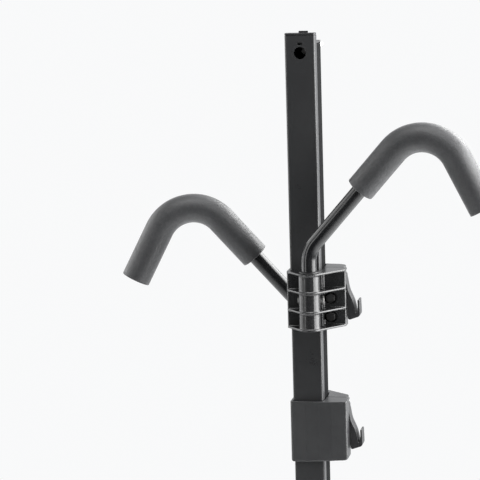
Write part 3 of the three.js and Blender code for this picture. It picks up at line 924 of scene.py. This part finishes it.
@dataclass
class WallFixing(Assembly):
    """Wall plate, stand-off bracket, top stud and all their fasteners."""

    edge: float = 0.0005
    stud_thread: Threads = field(default_factory=lambda: Threads(3.0 * MM, 1.25 * MM, 0.45 * MM))
    lag_thread: Threads = field(default_factory=lambda: Threads(3.2 * MM, 2.6 * MM, 0.8 * MM))
    stud_tip: float = 12 * MM
    lag_tip: float = 10 * MM
    lag_head: float = 5.4 * MM
    lag_overlap: float = 0.4 * MM
    head_profile: tuple = ((0.0, 4.9), (0.5, 5.8), (4.6, 6.0), (5.3, 5.7))

    def build(self) -> None:
        """Makes every piece that holds the mast to the wall."""
        self.machined_nodes(("wall_plate", "standoff_bracket"), Look.PAINT, self.edge)
        self.stud()
        self.machined_nodes(("top_stud_inner_nut",), Look.OXIDE, self.edge / 2)
        nuts = ["top_stud_washer", "top_stud_outer_nut"]
        for level in ("lower", "upper"):
            nuts += [f"{level}_mast_bolt", f"{level}_mast_nut", f"{level}_bracket_screw"]
            for side in ("left", "right"):
                nuts.append(f"{level}_{side}_lag_washer")
                self.lag_screw(f"{level}_{side}_lag_screw")
        self.machined_nodes(nuts, Look.ZINC, self.edge / 2)

    def stud(self) -> None:
        """Cuts the thread of the stud at the mast's top."""
        low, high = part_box("top_wall_stud")
        axis = (low + high) / 2
        rings = self.stud_thread.rings(axis, low.y, high.y, self.stud_tip)
        piece = mesh_from("top_wall_stud_threaded", lambda work: loft(work, rings))
        smooth_by_angle(piece, THREAD_SHARP_DEGREES)
        self.place(piece, Look.ZINC, "top_wall_stud")

    def lag_screw(self, node: str) -> None:
        """Cuts one lag screw: a six-sided head and a tapering wood thread.

        Args:
            node: the CAD node that it stands for.
        """
        low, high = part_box(node)
        axis = (low + high) / 2
        under_head = low.y + self.lag_head

        def build(work: bmesh.types.BMesh) -> None:
            """Fills the head and the shank.

            Args:
                work: the mesh to fill.
            """
            head = []
            for y, reach in self.head_profile:
                corners = [2.0 * math.pi * i / 6 for i in range(6)]
                ring = [Vector((math.cos(a), 0, math.sin(a))) * reach * MM for a in corners]
                head.append([Vector((axis.x, low.y + y * MM, axis.z)) + point for point in ring])
            loft(work, head)
            start = under_head - self.lag_overlap
            loft(work, self.lag_thread.rings(axis, start, high.y, self.lag_tip))

        piece = mesh_from(f"{node}_threaded", build)
        smooth_by_angle(piece, THREAD_SHARP_DEGREES)
        self.place(piece, Look.ZINC, node)


@dataclass
class Carriage(Assembly):
    """The two clamp halves, the cam lever and the fittings of one carriage."""

    level: str = "upper"
    edge: float = 0.3 * MM
    casting_voxel: float = 0.45 * MM
    casting_rounds: int = 5
    casting_keep: float = 0.3
    lever_voxel: float = 0.35 * MM
    lever_rounds: int = 3
    lever_keep: float = 0.4

    def build(self) -> None:
        """Makes every piece of one carriage."""
        # The socket half gets the darker copy of the paint as painted shade for its pockets, and the
        # cover half gets the lighter copy.
        for half, look in (("socket_half", Look.CASTING_PAINTED_SHADE), ("cover_half", Look.COVER_LIT_COPY)):
            node = f"{self.level}_{half}"
            skin = (self.casting_voxel, self.casting_rounds, self.casting_keep)
            self.place(cast(node, f"{node}_casting", *skin), look, node)
        lever = f"{self.level}_cam_lever"
        skin = (self.lever_voxel, self.lever_rounds, self.lever_keep)
        shaped = cast(lever, f"{lever}_moulding", *skin)
        self.place(shaped, Look.PLASTIC, lever, body=f"{self.level}_lever")
        clamp = f"{self.level}_clamp"
        self.machined_nodes((f"{self.level}_clamp_shoe",), Look.NYLON, self.edge, body=clamp)
        self.machined_nodes((f"{self.level}_push_block",), Look.ZINC, self.edge, body=clamp)
        self.machined_nodes((f"{self.level}_socket_bush",), Look.PLASTIC, self.edge)
        dark = ["cam_pin", "clamp_bolt_top", "clamp_bolt_bottom"]
        bright = ["arm_retaining_bolt", "arm_retaining_nut", "clamp_nut_top", "clamp_nut_bottom"]
        self.machined_nodes([f"{self.level}_{part}" for part in dark], Look.OXIDE, self.edge / 2)
        self.machined_nodes([f"{self.level}_{part}" for part in bright], Look.ZINC, self.edge / 2)


@dataclass
class Arm(Assembly):
    """A bent round bar and its foam sleeve, in the upright plane of its swivel."""

    level: str = "upper"
    swing: float = -4.5
    leg: float = 22 * MM
    insert: float = 55 * MM
    crest: tuple = (122.5 * MM, 140.5 * MM)
    tip: tuple = (173.5 * MM, 41.5 * MM)
    bends: tuple = (28 * MM, 38 * MM)
    rod_radius: float = 7.5 * MM
    groove_radius: float = 6 * MM
    groove_drop: float = 28.5 * MM
    groove_half: float = 3.4 * MM
    foot_chamfer: float = 1.0 * MM
    rod_sides: int = 40
    foam_radius: float = 14.4 * MM
    foam_start: float = 80 * MM
    foam_lip: float = 0.9 * MM
    foam_sides: int = 48
    mouth_gap: float = 0.15 * MM
    mouth_depth: float = 9 * MM
    mouth_steps: int = 8
    nose_steps: int = 6
    nose_hollow: tuple = ((0.7, 0.1), (0.45, 0.3), (0.2, 0.5), (0.05, 0.55))

    def socket(self) -> Vector:
        """Finds the socket's mouth from the swivel joint.

        Returns:
            The middle of the mouth.
        """
        name = f"{self.level}_arm_swivel"
        joint = next(j for j in FRAME["joints"] if j["name"] == name)
        return Vector(joint["pos_m"])

    def in_room(self, reach: float, rise: float) -> Vector:
        """Turns a point of the arm's plane into a point of the frame.

        Args:
            reach: distance out from the leg's centre line.
            rise: height above the corner over the leg.

        Returns:
            The point.
        """
        a = math.radians(self.swing)
        mouth = self.socket()
        return mouth + Vector((reach * math.cos(a), reach * math.sin(a), rise + self.leg))

    def centre_line(self) -> list[tuple[Vector, Vector]]:
        """Walks along the bar in the arm's plane.

        Returns:
            Points and directions, about 3 mm apart, from the leg's foot to the tip.
        """
        corners = [
            Vector((0.0, -self.leg - self.insert)),
            Vector((0.0, 0.0)),
            Vector(self.crest),
            Vector(self.tip),
        ]
        line: list[tuple[Vector, Vector]] = []
        here = corners[0]
        for corner, after, radius in zip(corners[1:], corners[2:], self.bends):
            before = (corner - here).normalized()
            ahead = (after - corner).normalized()
            turn = before.angle_signed(ahead)
            reach = radius * math.tan(abs(turn) / 2)
            start = corner - before * reach
            line += self.straight(here, start)
            line += self.round_bend(start, before, radius, -turn)
            here = corner + ahead * reach
        line += self.straight(here, corners[-1])
        line.append((corners[-1], (corners[-1] - here).normalized()))
        return line

    @staticmethod
    def straight(start: Vector, end: Vector, step: float = 3 * MM) -> list[tuple[Vector, Vector]]:
        """Walks along a straight stretch.

        Args:
            start: the first point.
            end: where the stretch ends; this point is left out.
            step: the distance wanted between points.

        Returns:
            Points and directions.
        """
        ahead = (end - start).normalized()
        count = max(1, round((end - start).length / step))
        return [(start.lerp(end, i / count), ahead) for i in range(count)]

    @staticmethod
    def round_bend(
        start: Vector, before: Vector, radius: float, turn: float
    ) -> list[tuple[Vector, Vector]]:
        """Walks round one bend.

        Args:
            start: where the bend begins.
            before: the direction there.
            radius: of the centre line.
            turn: in radians, anticlockwise positive.

        Returns:
            Points and directions.
        """
        count = max(6, round(radius * abs(turn) / (2 * MM)))
        aside = Vector((-before.y, before.x)) * math.copysign(1.0, turn)
        made = []
        for i in range(count):
            t = abs(turn) * i / count
            point = start + (before * math.sin(t) + aside * (1.0 - math.cos(t))) * radius
            made.append((point, before * math.cos(t) + aside * math.sin(t)))
        return made

    def rings(self, run: list[tuple[Vector, Vector, float]], sides: int) -> list[list[Vector]]:
        """Makes the rings of a round skin along the arm.

        Args:
            run: point, direction and radius of each ring.
            sides: points in a ring.

        Returns:
            The rings.
        """
        a = math.radians(self.swing)
        across = Vector((-math.sin(a), math.cos(a), 0.0))
        rows = []
        for point, ahead, radius in run:
            middle = self.in_room(point.x, point.y)
            edge = self.in_room(point.x - ahead.y, point.y + ahead.x) - middle
            ring = []
            for i in range(sides):
                t = 2.0 * math.pi * i / sides
                ring.append(middle + (edge * math.cos(t) + across * math.sin(t)) * radius)
            rows.append(ring)
        return rows

    def build(self) -> None:
        """Makes the bar and the sleeve."""
        line = self.centre_line()
        self.rod(line)
        self.sleeve(line)

    def rod(self, line: list[tuple[Vector, Vector]]) -> None:
        """Draws the bar, with a groove for the retaining bolt and a chamfered foot.

        Args:
            line: points and directions along the arm.
        """
        groove = -self.leg - self.groove_drop
        run = []
        for index, (point, ahead) in enumerate(line[:-2]):
            in_leg = point.x == 0.0 and abs(point.y - groove) < self.groove_half
            radius = self.groove_radius if in_leg else self.rod_radius
            if index == 0:
                radius = self.rod_radius - self.foot_chamfer
            run.append((point, ahead, radius))
        foot, ahead = line[0]
        run.insert(1, (foot + ahead * self.foot_chamfer, ahead, self.rod_radius))
        rings = self.rings(run, self.rod_sides)
        node = f"{self.level}_arm_rod"
        piece = mesh_from(f"{self.level}_arm_bent_rod", lambda work: loft(work, rings))
        smooth_by_angle(piece, ROD_SHARP_DEGREES)
        self.place(piece, Look.ROD, node, body=self.body)

    def sleeve(self, line: list[tuple[Vector, Vector]]) -> None:
        """Draws the foam sleeve: a mouth round the bar and a soft closed tip.

        Args:
            line: points and directions along the arm.
        """
        first = Vector(self.crest).normalized() * self.foam_start
        reached = (i for i, (p, _) in enumerate(line) if p.x > 0 and p.length >= self.foam_start)
        start = next(reached)
        outer = [(first, line[start][1])] + line[start:]
        middle = [(p, d, self.foam_radius) for p, d in self.inset(outer)]
        run = self.mouth(outer[0]) + middle + self.nose(outer[-1])
        rings = self.rings(run, self.foam_sides)
        node = f"{self.level}_arm_foam_sleeve"
        piece = mesh_from(f"{self.level}_foam_grip", lambda work: loft(work, rings))
        smooth_by_angle(piece, FOAM_SHARP_DEGREES)
        self.place(piece, Look.FOAM, node, body=self.body)

    def inset(self, outer: list[tuple[Vector, Vector]]) -> list[tuple[Vector, Vector]]:
        """Leaves out the points that the sleeve's rounded ends take up.

        Args:
            outer: points and directions from one end of the sleeve to the other.

        Returns:
            The points and directions between the ends.
        """
        ends = (outer[0][0], outer[-1][0])
        clear = self.foam_lip * 1.2
        return [(p, d) for p, d in outer if all((p - end).length > clear for end in ends)]

    def mouth(self, end: tuple[Vector, Vector]) -> list[tuple[Vector, Vector, float]]:
        """Rolls the end round the bar: from inside the mouth, over the lip, to the outside.

        Args:
            end: point and direction of the sleeve's first end.

        Returns:
            Point, direction and radius of each ring.
        """
        point, ahead = end
        inner = self.rod_radius + self.mouth_gap
        middle = (inner + self.foam_radius) / 2
        half = (self.foam_radius - inner) / 2
        made = [(point + ahead * self.mouth_depth, ahead, inner)]
        for i in range(self.mouth_steps + 1):
            t = math.pi * i / self.mouth_steps
            place = point + ahead * self.foam_lip * (1.0 - math.sin(t))
            made.append((place, ahead, middle - half * math.cos(t)))
        return made

    def nose(self, end: tuple[Vector, Vector]) -> list[tuple[Vector, Vector, float]]:
        """Closes the tip with a rounded rim and a slightly hollow middle.

        Args:
            end: point and direction of the sleeve's last end.

        Returns:
            Point, direction and radius of each ring.
        """
        point, ahead = end
        rim = self.foam_lip
        made = []
        for i in range(1, self.nose_steps + 1):
            t = math.pi / 2 * i / self.nose_steps
            place = point - ahead * rim * (1.0 - math.sin(t))
            made.append((place, ahead, self.foam_radius - rim * (1.0 - math.cos(t))))
        for share, sink in self.nose_hollow:
            made.append((point - ahead * sink * MM, ahead, self.foam_radius * share))
        return made


# ------------------------------------------------------------------ the whole rack


def main() -> None:
    """Builds the studio and the rack in order and reports each piece."""
    logging.basicConfig(level=logging.INFO, format="%(name)s %(message)s")
    bpy.context.scene.view_settings.view_transform = "Standard"
    low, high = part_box("mast_front_channel")
    tube_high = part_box("mast_rear_tube")[1]
    mast_top = Vector(((low.x + high.x) / 2, (low.y + tube_high.y) / 2, high.z))
    Studio().build(CAD_BOX[0], mast_top)
    wardrobe = Wardrobe()
    Mast(wardrobe, "wall_frame").build()
    WallFixing(wardrobe, "wall_frame").build()
    for level in ("upper", "lower"):
        Carriage(wardrobe, f"{level}_carriage", level=level).build()
    Arm(wardrobe, "upper_arm", level="upper").build()
    Arm(wardrobe, "lower_arm", level="lower", swing=195.0, leg=79 * MM).build()


if __name__ == "__main__":
    main()
